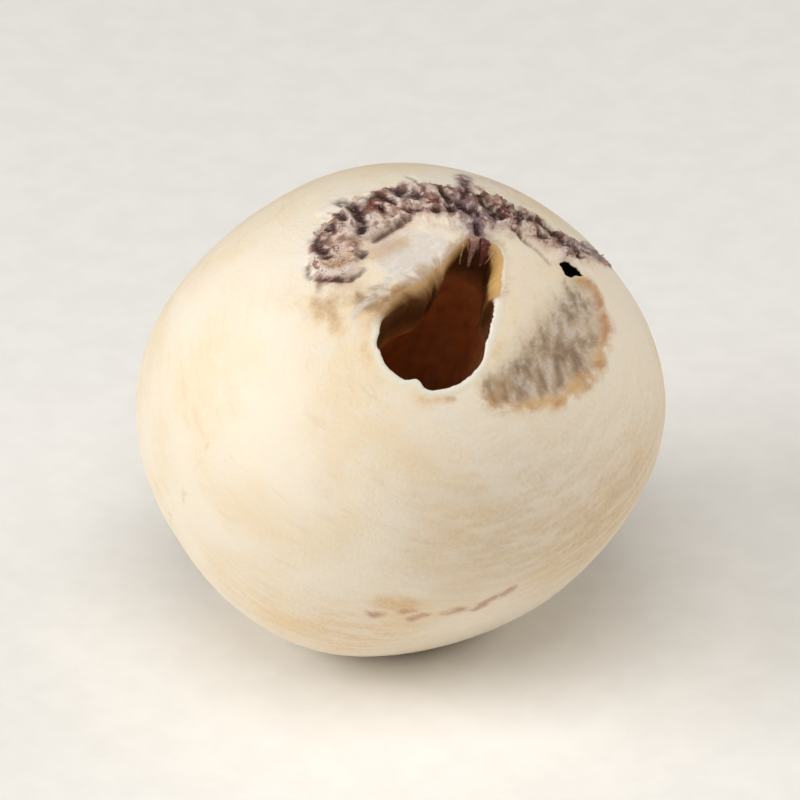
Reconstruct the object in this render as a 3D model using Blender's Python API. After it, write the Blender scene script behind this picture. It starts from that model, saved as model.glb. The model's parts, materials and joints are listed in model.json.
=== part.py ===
"""A dried and peeled lotus seed: one ivory kernel, drilled through from its beak to its base.

The kernel is modelled upright, with the beak on +Z, as one closed body: a grid of rings that runs
over the outside from the mouth to the base hole, and back up the drilled channel to the mouth.
It is then tipped onto the small flat spot that it rests on.
"""

import math

import bmesh
import bpy
from mathutils import Matrix, Vector, noise

MM = 0.001  # metres in a millimetre; every size below is in millimetres or degrees

# Kernel: half sizes across, through and along its own axis
HALF_WIDTH = 6.6
HALF_THICKNESS = 5.85
HALF_LENGTH = 7.0
FULLNESS = 2.25  # 2 is an ellipsoid, more is fuller towards a barrel

# Swells and shrunk flanks: polar angle from the beak, azimuth, spread, height
SWELLS = [
    (97.0, -41.0, 28.0, -0.30),
    (108.0, -69.0, 20.0, -0.24),
    (70.0, 41.0, 30.0, -0.30),
    (80.0, 134.0, 26.0, -0.22),
    (112.0, 205.0, 26.0, -0.25),
    (114.0, 252.0, 20.0, 0.14),
    (180.0, 0.0, 13.0, -0.22),
]

# Faces scraped by the knife at the beak: polar angle and azimuth of the face, depth of the cut
SCRAPED_FACES = [
    (17.0, 128.0, 0.16),
    (27.0, -14.0, 0.09),
]
FACE_SOFTNESS = 0.05

# Mouth, looking down on the beak: the drilled bore, the open split and the split's end (x, y, radius)
MOUTH_CIRCLES = [
    (-0.46, -0.80, 1.40),
    (0.36, 0.48, 0.88),
    (0.73, 1.36, 0.62),
]
MOUTH_TOOTH = (247.0, 6.0, 0.18)  # a splinter left on the rim: azimuth, spread, length
RIM_ROUND = 0.07  # rounding of the drilled rim
WORN_EDGES = [(162.0, 26.0, 0.38), (36.0, 20.0, 0.24)]  # sloped split edges: azimuth, spread, width

# Channel: the hollow that held the germ, and the smaller hole at the base
CAVITY_HALF_LENGTH = 2.0
CAVITY_HALF_WIDTH = 1.25
SPLIT_AZIMUTH = 61.0
CAVITY_TOP = 4.6
CAVITY_BOTTOM = -3.2
NECK_BOTTOM = -5.6
BASE_HOLE_RADIUS = 0.95

# Torn collar of dark skin that stands round the beak: x, y, half width
COLLAR = [
    (-2.85, 0.90, 0.46),
    (-2.74, 1.60, 0.64),
    (-2.05, 2.55, 0.66),
    (-0.85, 3.12, 0.60),
    (0.75, 2.98, 0.76),
    (1.90, 2.78, 0.58),
    (3.05, 2.28, 0.50),
    (4.15, 2.05, 0.34),
]
COLLAR_HEIGHT = 0.21
COLLAR_CRUMPLE = 0.20
CRUMPLE_PITCH = 0.70
CURL = (-2.80, 1.42, 0.46, 0.74)  # curled flap at the collar's left end: x, y, half sizes
CURL_DEPTH = 0.24
GASH = [(-2.45, 3.05, 0.26), (-2.05, 2.25, 0.26)]  # tear between the flap and the collar
GASH_DEPTH = 0.30
CRACK = [(0.57, 4.40, 0.24), (0.60, 3.60, 0.24)]  # crack that runs from the collar down the side
CRACK_DEPTH = 0.14

# Dished scar on the right of the mouth, with a raised outer lip, and the small pit above it
SCAR = [
    (3.45, 0.75, 0.55),
    (3.35, -0.40, 0.85),
    (2.50, -1.45, 0.80),
    (1.35, -2.05, 0.40),
]
SCAR_DEPTH = 0.14
SCAR_LIP = 0.05
PIT = (3.22, 1.62, 0.30)  # x, y, radius
PIT_DEPTH = 0.34

# Pose: the axis tips forwards and leans, and the kernel rests on a small flat spot
TIP_FORWARD = 35.0
LEAN = 13.0
TURN = 7.5
FLAT_DEPTH = 0.34

# Mesh
SEGMENTS = 88
OUTER_RINGS = 38
CHANNEL_RINGS = 11
GATHER = 0.42  # how far the segments crowd towards the split at the mouth; 0 is evenly spaced
GATHER_END = 0.45  # share of the way to the base hole where they are even again
ON_PLANE = 0.04  # corners this close to the resting flat are laid on it

IVORY = (0.82, 0.71, 0.54, 1.0)
IVORY_ROUGHNESS = 0.62


def smooth(value):
    """Ease from 0 to 1 as the value goes from 0 to 1."""
    value = min(max(value, 0.0), 1.0)
    return value * value * (3.0 - 2.0 * value)


def mix(first, second, share):
    return first + (second - first) * share


def direction(polar, azimuth):
    """Unit vector at a polar angle from the beak and an azimuth, both in degrees."""
    tilt = math.radians(polar)
    turn = math.radians(azimuth)
    return Vector((math.sin(tilt) * math.cos(turn), math.sin(tilt) * math.sin(turn), math.cos(tilt)))


def azimuth_falloff(azimuth, centre, spread):
    """Bell curve over the azimuth, 1 at the centre."""
    away = (azimuth - centre + 180.0) % 360.0 - 180.0
    return math.exp(-((away / spread) ** 2))


def path_place(x, y, path):
    """Distance from a point to a path of (x, y, half width), in half widths, and its outer side as +1."""
    best = (1.0e9, 0.0)
    for first, second in zip(path[:-1], path[1:]):
        run_x = second[0] - first[0]
        run_y = second[1] - first[1]
        share = ((x - first[0]) * run_x + (y - first[1]) * run_y) / (run_x ** 2 + run_y ** 2)
        share = min(max(share, 0.0), 1.0)
        near_x = mix(first[0], second[0], share)
        near_y = mix(first[1], second[1], share)
        away = math.hypot(x - near_x, y - near_y) / mix(first[2], second[2], share)
        if away < best[0]:
            best = (away, math.hypot(x, y) - math.hypot(near_x, near_y))
    return best[0], math.copysign(1.0, best[1])


def smooth_radius(way):
    """Distance from the centre to the unmarked kernel along a unit vector."""
    waist = math.hypot(way.x / HALF_WIDTH, way.y / HALF_THICKNESS)
    radius = (waist ** FULLNESS + (abs(way.z) / HALF_LENGTH) ** FULLNESS) ** (-1.0 / FULLNESS)
    for polar, azimuth, spread, height in SWELLS:
        apart = math.degrees(way.angle(direction(polar, azimuth)))
        radius += height * math.exp(-((apart / spread) ** 2))
    return radius


def scraped_radius(way, radius):
    """Cut the knife's flat faces off the beak, with a soft edge round each."""
    for polar, azimuth, depth in SCRAPED_FACES:
        normal = direction(polar, azimuth)
        facing = way.dot(normal)
        if facing > 0.7:
            cut = (smooth_radius(normal) - depth) / facing
            blend = min(max(0.5 + 0.5 * (radius - cut) / FACE_SOFTNESS, 0.0), 1.0)
            radius = mix(radius, cut, blend) - FACE_SOFTNESS * blend * (1.0 - blend)
    return radius


def collar_relief(x, y):
    """Height of the torn skin: a crumpled band with a curled flap at its left end."""
    away, _ = path_place(x, y, COLLAR)
    band = 1.0 - smooth((away - 0.66) / 0.42)
    crumple = noise.noise(Vector((x, y, 3.0)) / CRUMPLE_PITCH)
    height = band * (COLLAR_HEIGHT + COLLAR_CRUMPLE * crumple)
    curl_x, curl_y, half_x, half_y = CURL
    inside = math.hypot((x - curl_x) / half_x, (y - curl_y) / half_y)
    height -= CURL_DEPTH * (1.0 - smooth(inside))
    gash, _ = path_place(x, y, GASH)
    height -= GASH_DEPTH * (1.0 - smooth(gash))
    crack, _ = path_place(x, y, CRACK)
    height -= CRACK_DEPTH * (1.0 - smooth(crack))
    return height


def scar_relief(x, y):
    """Height of the dished scar, its raised outer lip and the pit above it."""
    away, side = path_place(x, y, SCAR)
    height = -SCAR_DEPTH * (1.0 - smooth(away))
    if side > 0.0:
        height += SCAR_LIP * math.exp(-(((away - 1.0) / 0.25) ** 2))
    pit = math.hypot(x - PIT[0], y - PIT[1]) / PIT[2]
    return height - PIT_DEPTH * (1.0 - smooth(pit))


def surface_point(polar, azimuth):
    """Point of the kernel's outside at a polar angle and an azimuth."""
    way = direction(polar, azimuth)
    radius = scraped_radius(way, smooth_radius(way))
    if polar < 60.0:
        place = way * radius
        radius += collar_relief(place.x, place.y) + scar_relief(place.x, place.y)
    return way * radius


def mouth_reach(azimuth):
    """Distance from the axis to the mouth's edge: the outline round the mouth's circles."""
    turn = math.radians(azimuth)
    inner, outer = 0.0, 4.0
    for _ in range(30):
        middle = 0.5 * (inner + outer)
        if inside_mouth(middle * math.cos(turn), middle * math.sin(turn)):
            inner = middle
        else:
            outer = middle
    centre, spread, length = MOUTH_TOOTH
    return inner - length * azimuth_falloff(azimuth, centre, spread)


def inside_mouth(x, y):
    """True within a circle that rolls along the mouth's circles and changes size on its way."""
    for first, second in zip(MOUTH_CIRCLES[:-1], MOUTH_CIRCLES[1:]):
        for step in range(21):
            share = step / 20.0
            centre_x = mix(first[0], second[0], share)
            centre_y = mix(first[1], second[1], share)
            if math.hypot(x - centre_x, y - centre_y) < mix(first[2], second[2], share):
                return True
    return False


def cavity_reach(azimuth):
    """Distance from the axis to the wall of the germ's hollow, an oval along the split."""
    turn = math.radians(azimuth - SPLIT_AZIMUTH)
    return 1.0 / math.hypot(math.cos(turn) / CAVITY_HALF_LENGTH, math.sin(turn) / CAVITY_HALF_WIDTH)


def polar_at_reach(reach, azimuth, from_base=False):
    """Polar angle at which the outside lies at a distance from the axis, at the beak or the base."""
    near, far = (180.0, 120.0) if from_base else (0.0, 60.0)
    for _ in range(30):
        middle = 0.5 * (near + far)
        place = surface_point(middle, azimuth)
        if math.hypot(place.x, place.y) < reach:
            near = middle
        else:
            far = middle
    return 0.5 * (near + far)


def rim_width(azimuth):
    """Rounding of the mouth's edge, wider along the worn edges of the split."""
    width = RIM_ROUND
    for centre, spread, extra in WORN_EDGES:
        width += extra * azimuth_falloff(azimuth, centre, spread)
    return width


def ring_shares():
    """Shares of the way from the mouth to the base hole, closest together at the collar."""
    weights = [0.5 + math.sin(math.pi * (ring / OUTER_RINGS) ** 1.6) for ring in range(OUTER_RINGS)]
    total = sum(weights)
    return [sum(weights[:count]) / total for count in range(OUTER_RINGS + 1)]


def at_reach(azimuth, reach, height):
    turn = math.radians(azimuth)
    return Vector((reach * math.cos(turn), reach * math.sin(turn), height))


def gathered(even, share):
    """Azimuth of a segment: crowded round the split at the mouth, even further down."""
    pull = math.degrees(GATHER * math.sin(math.radians(even - SPLIT_AZIMUTH)))
    return even - pull * (1.0 - smooth(share / GATHER_END))


def outer_points(even):
    """Points down the outside, from the mouth's edge to the base hole's."""
    rim_azimuth = gathered(even, 0.0)
    polar_top = polar_at_reach(mouth_reach(rim_azimuth), rim_azimuth)
    polar_bottom = polar_at_reach(BASE_HOLE_RADIUS + RIM_ROUND, even, from_base=True)
    shares = ring_shares()
    return [surface_point(mix(polar_top, polar_bottom, share), gathered(even, share)) for share in shares]


def channel_points(even, rim_top, rim_bottom):
    """Points up the channel, from inside the base hole to inside the mouth's edge."""
    wall_azimuth = gathered(even, 0.0)
    width = rim_width(wall_azimuth)
    bottom = rim_bottom + RIM_ROUND
    top = rim_top - width
    points = [at_reach(even, BASE_HOLE_RADIUS + 0.3 * RIM_ROUND, rim_bottom + 0.3 * RIM_ROUND)]
    for step in range(CHANNEL_RINGS + 1):
        height = mix(bottom, top, step / CHANNEL_RINGS)
        opening = smooth((height - CAVITY_TOP) / (top - CAVITY_TOP))
        azimuth = mix(even, wall_azimuth, opening)
        narrowing = smooth((CAVITY_BOTTOM - height) / (CAVITY_BOTTOM - NECK_BOTTOM))
        reach = mix(cavity_reach(azimuth), BASE_HOLE_RADIUS, narrowing)
        reach = mix(reach, mouth_reach(azimuth) - width, opening)
        points.append(at_reach(azimuth, reach, height))
    points.append(at_reach(wall_azimuth, mouth_reach(wall_azimuth) - 0.7 * width, rim_top - 0.3 * width))
    return points


def meridian(even):
    """Closed loop of points of one segment: down the outside and up the channel."""
    outside = outer_points(even)
    return outside + channel_points(even, outside[0].z, outside[-1].z)


def kernel_mesh():
    """Upright kernel as a closed grid of quads, in millimetres."""
    grid = bmesh.new()
    columns = []
    for segment in range(SEGMENTS):
        points = meridian(360.0 * segment / SEGMENTS)
        columns.append([grid.verts.new(point) for point in points])
    rings = len(columns[0])
    for segment, column in enumerate(columns):
        following = columns[(segment + 1) % SEGMENTS]
        for ring in range(rings):
            below = (ring + 1) % rings
            grid.faces.new((column[ring], column[below], following[below], following[ring]))
    bmesh.ops.recalc_face_normals(grid, faces=grid.faces)
    return grid


def cut_flat(grid, pose):
    """Cut the resting flat, level in the tipped pose, and close it with one face."""
    lowest = min((pose @ vert.co).z for vert in grid.verts)
    up = pose.inverted().to_3x3() @ Vector((0.0, 0.0, 1.0))
    level = pose.inverted() @ Vector((0.0, 0.0, lowest + FLAT_DEPTH))
    for vert in grid.verts:
        above = up.dot(vert.co - level)
        if abs(above) < ON_PLANE:
            vert.co -= above * up
    everything = grid.verts[:] + grid.edges[:] + grid.faces[:]
    bmesh.ops.bisect_plane(grid, geom=everything, plane_co=level, plane_no=up, clear_inner=True, dist=1e-4)
    rim = [edge for edge in grid.edges if edge.is_boundary]
    bmesh.ops.contextual_create(grid, geom=rim)
    bmesh.ops.recalc_face_normals(grid, faces=grid.faces)


def ivory_material():
    material = bpy.data.materials.new("seed_flesh")
    material.use_nodes = True
    shader = material.node_tree.nodes["Principled BSDF"]
    shader.inputs["Base Color"].default_value = IVORY
    shader.inputs["Roughness"].default_value = IVORY_ROUGHNESS
    shader.inputs["Metallic"].default_value = 0.0
    return material


def build_seed():
    pose = (
        Matrix.Rotation(math.radians(LEAN), 4, "Y")
        @ Matrix.Rotation(math.radians(TIP_FORWARD), 4, "X")
        @ Matrix.Rotation(math.radians(TURN), 4, "Z")
    )
    grid = kernel_mesh()
    cut_flat(grid, pose)
    corners = [pose @ vert.co for vert in grid.verts]
    middle_x = 0.5 * (min(corner.x for corner in corners) + max(corner.x for corner in corners))
    middle_y = 0.5 * (min(corner.y for corner in corners) + max(corner.y for corner in corners))
    lowest = min(corner.z for corner in corners)
    bmesh.ops.scale(grid, vec=(MM, MM, MM), verts=grid.verts)
    mesh = bpy.data.meshes.new("seed")
    grid.to_mesh(mesh)
    grid.free()
    mesh.shade_smooth()
    mesh.set_sharp_from_angle(angle=math.radians(40.0))
    mesh.materials.append(ivory_material())
    seed = bpy.data.objects.new("seed", mesh)
    bpy.context.scene.collection.objects.link(seed)
    seed.rotation_euler = pose.to_euler()
    seed.location = (-middle_x * MM, -middle_y * MM, -lowest * MM)
    return seed


def main():
    for old in list(bpy.data.objects):
        bpy.data.objects.remove(old, do_unlink=True)
    build_seed()
    bpy.context.view_layer.update()


main()
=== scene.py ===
"""A dried, peeled and drilled lotus seed on a pale studio floor.

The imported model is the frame: its one node is replaced by a finer kernel of the same form, with the
torn skin round the beak, lifted flakes of it and fibres over the mouth. The kernel's own sizes are in
millimetres in the seed's frame, with the beak on +Z; the pose tips that frame onto the resting flat.
"""

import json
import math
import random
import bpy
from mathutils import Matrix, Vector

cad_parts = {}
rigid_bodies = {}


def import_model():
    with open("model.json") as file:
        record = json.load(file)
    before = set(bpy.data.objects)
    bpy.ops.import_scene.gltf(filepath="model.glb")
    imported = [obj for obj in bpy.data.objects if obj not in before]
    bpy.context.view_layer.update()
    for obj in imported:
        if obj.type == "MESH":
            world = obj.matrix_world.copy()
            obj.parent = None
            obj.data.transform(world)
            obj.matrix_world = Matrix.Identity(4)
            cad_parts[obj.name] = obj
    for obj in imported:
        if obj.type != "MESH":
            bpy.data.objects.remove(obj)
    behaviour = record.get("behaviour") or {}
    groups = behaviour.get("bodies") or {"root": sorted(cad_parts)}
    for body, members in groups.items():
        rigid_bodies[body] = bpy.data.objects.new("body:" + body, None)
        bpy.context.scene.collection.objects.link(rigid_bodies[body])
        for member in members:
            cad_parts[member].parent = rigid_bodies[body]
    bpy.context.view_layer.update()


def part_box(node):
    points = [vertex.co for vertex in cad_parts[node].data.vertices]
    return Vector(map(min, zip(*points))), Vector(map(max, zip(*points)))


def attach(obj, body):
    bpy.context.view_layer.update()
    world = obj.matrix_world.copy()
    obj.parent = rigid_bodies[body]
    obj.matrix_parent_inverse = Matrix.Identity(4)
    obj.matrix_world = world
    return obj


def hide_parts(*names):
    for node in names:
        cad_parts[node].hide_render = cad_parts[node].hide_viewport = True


bl_info = {
    "name": "Drilled lotus seed",
    "version": (1, 0, 0),
    "blender": (4, 5, 0),
    "location": "View3D > Sidebar > Lotus seed",
    "description": "Models a dried lotus seed with torn skin round its drilled beak, and its stage",
    "category": "Add Mesh",
}

import bpy
import numpy as np
from mathutils import Matrix, Vector, noise

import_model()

MM = 0.001  # metres in a millimetre

# Kernel: fuller than an ellipsoid, with swells and shrunk flanks (polar, azimuth, spread, height)
FULLNESS = 2.25
SWELLS = [
    (97, -41, 28, -0.3), (108, -69, 20, -0.24), (70, 41, 30, -0.3),
    (80, 134, 26, -0.22), (112, 205, 26, -0.25), (114, 252, 20, 0.14),
    (180, 0, 13, -0.22),
]

CENTRE_SHIFT = -0.015  # of the kernel's centre along x from the node's middle

# Faces scraped by the knife at the beak: polar angle and azimuth of the face, depth of the cut
SCRAPED_FACES = [(17, 128, 0.16), (27, -14, 0.09)]
FACE_SOFTNESS = 0.04

# Mouth: the drilled bore, the open split and the split's end (x, y, radius), and a splinter on the rim
MOUTH_CIRCLES = [(-0.46, -0.8, 1.4), (0.36, 0.48, 0.88), (0.73, 1.36, 0.62)]
MOUTH_TOOTH = (247.0, 6.0, 0.18)  # azimuth, spread, length
RIM_ROUND = 0.06
WORN_EDGES = [(160, 28, 0.5), (106, 30, 0.4), (40, 24, 0.36)]  # azimuth, spread, width

# Channel: the hollow that held the germ, and the smaller hole at the base
CAVITY_HALF_LENGTH = 2.0
CAVITY_HALF_WIDTH = 1.25
SPLIT_AZIMUTH = 61.0
LIT_WALL = (36, 22)  # azimuth and spread of the neck's wall where the key light falls, painted lighter: painted light
CAVITY_TOP = 3.4
UNDERCUT = 0.16  # how far the bore opens out under the crisp part of the rim
CAVITY_BOTTOM = -3.2
NECK_BOTTOM = -5.6
BASE_HOLE_RADIUS = 0.95

# Distance from the kernel's centre to the mouth's edge and to the base hole's
RIM_RADIUS = 6.2
BASE_RADIUS = 6.5
DEGREES = 57.3  # in a radian

# Torn collar of dark skin round the beak, and the scar right of the mouth: x, y, half width
COLLAR = [
    (-2.85, 0.9, 0.46), (-2.74, 1.6, 0.64), (-2.05, 2.55, 0.66), (-0.85, 3.12, 0.6), (0.75, 2.98, 0.76),
    (1.9, 2.78, 0.5), (3.05, 2.28, 0.42), (4.15, 2.52, 0.27), (4.42, 2.56, 0.15),
]
SCAR = [
    (3.45, 0.85, 0.55), (3.45, 0.2, 0.78), (3.15, -0.62, 0.86), (2.5, -1.38, 0.78), (1.85, -1.82, 0.56),
    (1.3, -2.08, 0.36),
]
FLAP = (-2.76, 1.5, 0.52, 0.8)  # curled flap at the collar's left end: x, y, half sizes
PIT = (3.18, 1.57, 0.34, 0.21, -12.0)  # x, y, half sizes, turn

# Lifted flakes of skin: how many, and the least and greatest size; and the fibres over the mouth's neck:
# half width, colour, the point (x, y) where it leaves the skin, its way in, and how far it hangs
FLAKES = 26
FLAKE_SIZES = (0.16, 0.34)
FLAKE_THICKNESS = 0.022
FIBRES = [
    (0.12, "mauve", (0.56, 1.98), (0.06, -0.56), 0.4), (0.06, "rust", (0.44, 1.94), (0.06, -0.3), 0.22),
    (0.11, "maroon", (0.92, 2.0), (-0.1, -0.58), 0.42), (0.055, "dark_crack_shade", (0.8, 2.02), (-0.05, -0.5), 0.34),
    (0.034, "tan", (0.3, 1.86), (0.04, -0.46), 0.32), (0.034, "maroon", (1.04, 1.92), (-0.12, -0.44), 0.34),
    (0.024, "tan", (1.22, 1.72), (-0.26, -0.26), 0.28),
]
FIBRE_STEPS = 12

# Strips of skin that hang from the collar, towards the mouth's neck and over the top
STRIPS = [(0.27, (0.62, 2.8), (0.72, 2.45), (0.7, 2.12)), (0.17, (0.64, 4.15), (0.5, 3.4))]

# Strokes on the beak, each a half width and the points (x, y) that it runs through
# Cracks between pieces of skin: grooves painted near black, which is painted shade in the cracks.
SHADED_CRACKS = [
    (0.12, (-2.49, 3.14), (-2.27, 2.9), (-2.12, 2.38), (-2.11, 2.1)),
    (0.08, (-1.96, 3.2), (-1.63, 3.25), (-1.37, 3.01)), (0.07, (-1.62, 2.78), (-1.55, 2.72)),
    (0.12, (-1.12, 3.35), (-0.9, 3.36), (-0.75, 3.24)), (0.08, (-0.02, 3.5), (0.09, 2.78)),
    (0.07, (-0.95, 2.69), (-0.75, 2.74)), (0.06, (-0.36, 2.75), (-0.26, 2.74)),
    (0.1, (0.3, 2.96), (0.53, 2.75), (0.73, 2.69)), (0.06, (0.68, 2.3), (0.72, 2.02)),
    (0.09, (-3.2, 1.86), (-3.13, 1.56), (-3.04, 1.36)), (0.1, (-3.0, 2.18), (-2.85, 2.15)),
    (0.07, (-2.61, 2.67), (-2.51, 2.47)), (0.13, (0.98, 3.19), (1.18, 2.96), (1.29, 2.76)),
    (0.07, (0.63, 3.57), (0.91, 3.45)), (0.09, (1.58, 3.15), (1.84, 3.06), (1.78, 2.74)),
    (0.1, (1.86, 2.98), (2.17, 2.96), (2.42, 2.95), (2.68, 2.82), (2.85, 2.52), (3.27, 2.38), (3.44, 2.23)),
    (0.09, (2.38, 2.4), (2.44, 2.4)),
]
# Painted shadows: thin dark lines under the raised edges of the skin and the flap, each with a shallow
# groove.
EDGE_SHADOWS = [
    (0.035, (-3.44, 1.1), (-3.46, 0.78), (-3.12, 0.66), (-2.76, 0.6), (-2.44, 0.65), (-2.12, 0.95)),
    (0.05, (-2.13, 1.34), (-2.08, 1.44)), (0.05, (-1.82, 1.84), (-1.42, 2.1), (-1.14, 2.36), (-0.98, 2.46)),
    (0.03, (1.66, 2.41), (2.0, 2.03), (2.33, 1.83), (2.58, 1.55)), (0.03, (-0.82, 4.1), (-0.62, 3.85)),
    (0.06, (0.66, 4.2), (0.55, 3.58), (0.45, 3.26)),
]
CRESTS = [
    (0.12, (-2.98, 2.8), (-2.72, 2.98), (-2.5, 2.74), (-2.37, 2.4), (-2.36, 2.06)),
    (0.1, (-2.14, 3.04), (-2.04, 3.03)), (0.09, (-1.97, 2.46), (-1.66, 2.36)),
    (0.05, (-2.08, 1.9), (-1.94, 2.03), (-1.55, 2.22), (-1.2, 2.48)), (0.07, (-1.22, 3.23), (-1.16, 2.89)),
    (0.07, (-0.77, 3.6), (-0.63, 3.45)), (0.08, (-0.32, 3.42), (-0.22, 3.42)),
    (0.06, (-0.83, 2.95), (-0.57, 2.87)), (0.06, (1.96, 3.42), (2.32, 3.43), (2.73, 3.31), (3.01, 2.84)),
    (0.07, (1.26, 2.49), (1.58, 2.6)), (0.08, (1.95, 2.62), (2.04, 2.62)),
    (0.06, (2.95, 1.93), (3.38, 1.88), (3.87, 1.73)), (0.08, (0.95, 2.14), (1.25, 2.02)),
    (0.12, (-3.29, 1.33), (-3.19, 0.97), (-2.92, 0.79), (-2.52, 0.8), (-2.31, 0.98)),
]
VIOLETS = [
    (0.2, (-1.05, 3.3), (-0.8, 3.25)), (0.36, (0.4, 2.95), (0.75, 2.45)), (0.16, (0.5, 3.4), (0.3, 2.9)),
    (0.2, (0.64, 4.15), (0.5, 3.4)), (0.32, (0.64, 2.64), (0.7, 2.14)),
    (0.13, (3.7, 2.45), (4.0, 3.0), (4.14, 2.6), (4.5, 2.62)), (0.16, (3.3, 2.42), (4.1, 2.5)),
]
OLIVES = [
    (0.15, (-1.36, 0.3), (-1.14, 0.34)), (0.1, (-2.29, 0.18), (-2.21, 0.16)),
    (0.12, (-2.04, -0.14), (-1.88, -0.06)), (0.1, (-1.8, -0.15), (-1.62, 0.1)),
    (0.06, (-3.23, 0.66), (-3.2, 0.36)),
]
TINTS = [(0.44, (-3.3, 0.2), (-2.75, 0.1), (-2.3, 0.0), (-1.95, -0.3))]
TANS = [
    (0.09, (-3.02, 1.08), (-2.69, 1.05), (-2.4, 1.28)), (0.07, (2.45, 2.68), (2.53, 2.7)),
    (0.07, (-3.19, 0.5), (-3.14, 0.22)), (0.12, (-3.28, 0.17), (-3.18, -0.32)),
    (0.13, (-3.0, 0.0), (-2.72, -0.7)), (0.06, (-0.62, -2.36), (0.1, -2.34)),
    (0.14, (-1.85, 1.41), (-1.52, 1.61), (-1.18, 1.76)), (0.09, (1.93, -2.24), (2.03, -2.25)),
]
SMUDGES = [
    (0.09, (-2.28, 0.0), (-1.82, 0.2)), (0.06, (-2.02, 0.36), (-1.62, 0.44)),
    (0.17, (2.47, -0.73), (2.71, -0.7), (3.03, -0.57)), (0.1, (2.16, -0.78), (2.28, -0.67)),
    (0.16, (1.81, -1.45), (1.99, -1.3)), (0.09, (2.0, -1.55), (1.96, -1.84)),
    (0.09, (1.5, -1.87), (1.62, -1.87)), (0.11, (3.6, 0.7), (3.7, 0.72)), (0.14, (3.3, 0.82), (3.22, 0.34)),
    (0.11, (0.91, -1.95), (1.03, -1.99)),
]
SHELF = (0.17, (0.8, 4.3), (1.4, 4.25), (2.2, 4.0))
SLOPE_CRESTS = [
    (0.07, (-1.57, 0.63), (-1.72, 0.26), (-2.04, 0.04), (-2.41, -0.35)),
    (0.06, (-1.59, -0.06), (-1.71, -0.46)),
]

# Chalky facet that the knife left between the mouth and the collar, and the way its strokes run
FACET = [
    (-1.76, 1.94), (-1.09, 2.19), (-0.28, 1.97), (0.18, 1.73), (0.16, 1.45), (-0.39, 1.02), (-0.63, 0.71),
    (-1.16, 0.47), (-1.48, 0.83), (-1.79, 1.22),
]
KNIFE_AZIMUTH = 42.0

# Broad washes on the body: colour, cover, and the polar angle, azimuth and spread, in degrees
# The tan wash at (70, -36) and the ochre wash at (97, -100) are partly stains and partly painted warm shade.
WASHES_AND_SHADE = [
    ("tan", 0.47, (70, -36, 27)), ("tan", 0.22, (50, -72, 22)),
    ("ochre", 0.52, (97, -100, 17)), ("ochre", 0.3, (104, -128, 14)),
    ("warm", 0.5, (100, 150, 30)), ("ochre", 0.25, (135, 40, 24)),
]

# Marks on the body: colour, half width and the points (polar, azimuth) that each runs through
BODY_MARKS = [
    ("ochre", 0.4, (76, -95), (77, -91)), ("rust", 0.15, (83.8, -97.8), (82.6, -96.2)),
    ("rust", 0.12, (80.4, -91), (79, -88.8)), ("rust", 0.14, (83.6, -88), (81.6, -85.6)),
    ("rust", 0.24, (81.5, -79.5), (80.4, -76.4)), ("rust", 0.16, (78.6, -71), (74.9, -64)),
    ("rust", 0.14, (82.6, -72.6), (80.6, -70.4)), ("rust", 0.07, (96, 118), (91, 121), (85, 122)),
    ("rust", 0.1, (101, 127), (104, 131)), ("ochre", 0.3, (118, 60), (122, 66)),
    ("ochre", 0.05, (62, 206), (84, 209), (108, 205), (132, 209)),
    ("rust", 0.08, (128, 20), (121, 15), (117, 7)),
]
FRECKLE_PATCHES = [(84, 108, 15, 46), (118, 60, 12, 30), (126, -20, 11, 20)]  # middle, spread, count
PINPRICKS = [(66, 84, 5, 6.5), (104, 168, 6, 5)]  # start, count, step down

# Grid of the kernel; its segments gather round the split, as far down as GATHER_END of the outside
SEGMENTS = 400
OUTER_RINGS = 200
CHANNEL_RINGS = 44
RIM_RINGS = 6
BASE_RIM_RINGS = 2
GATHER = 0.42
GATHER_END = 0.45
HALVINGS = 30  # of the range in which the mouth's edge or a polar angle is sought
ROLL_STEPS = 40  # of the circle between two of the mouth's circles
BEAK_END = 62.0  # polar angle past which nothing of the beak's relief reaches

# Studio, in metres
LIGHT_DISTANCE = 0.18
LIGHT_WIDTH = 0.12
LIGHTS = {  # azimuth from the front, elevation, colour
    "key": (-72.0, 28.0, (1.0, 0.99, 0.98)),
    "top": (0.0, 65.0, (1.0, 0.98, 0.95)),
    "fill": (100.0, 24.0, (1.0, 0.95, 0.88)),
}
SKY_COLOUR = (1.0, 0.97, 0.92, 1.0)
FLOOR_WIDTH = 60.0  # in heights of the seed


# Properties


def number(name, description, value, **more):
    return bpy.props.FloatProperty(name=name, description=description, default=value, **more)


def size(name, description, millimetres):
    length = {"min": 0.0, "precision": 5, "subtype": "DISTANCE", "unit": "LENGTH"}
    return number(name, description, millimetres * MM, **length)


def turn(name, description, degrees):
    return number(name, description, math.radians(degrees), subtype="ANGLE", unit="ROTATION")


def share(name, description, value):
    return number(name, description, value, min=0.0, max=1.0, subtype="FACTOR")


def tint(name, description, red, green, blue):
    """Colour property from screen values of 0 to 255."""
    linear = [((value / 255.0 + 0.055) / 1.055) ** 2.4 for value in (red, green, blue)]
    return bpy.props.FloatVectorProperty(
        name=name, description=description, default=(*linear, 1.0), min=0.0, max=1.0, size=4, subtype="COLOR"
    )


class LotusKernelSettings(bpy.types.PropertyGroup):
    """Sizes of the kernel and how it rests"""

    half_width: size("Half width", "Half of the kernel's width across the split's side", 6.6)
    half_thickness: size("Half thickness", "Half of the kernel's thickness", 5.85)
    half_length: size("Half length", "Half of the kernel's length from beak to base", 7.0)
    tip_forward: turn("Tip", "How far the beak tips forwards", 35.0)
    lean: turn("Lean", "How far the kernel leans to its side", 13.0)
    spin: turn("Spin", "Turn of the kernel about its own axis", 7.5)
    centre_height: size("Centre height", "Height of the kernel's centre above its resting flat", 6.502)
    lump_height: size("Lumps", "Height of the broad unevenness of the dried kernel", 0.035)


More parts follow.
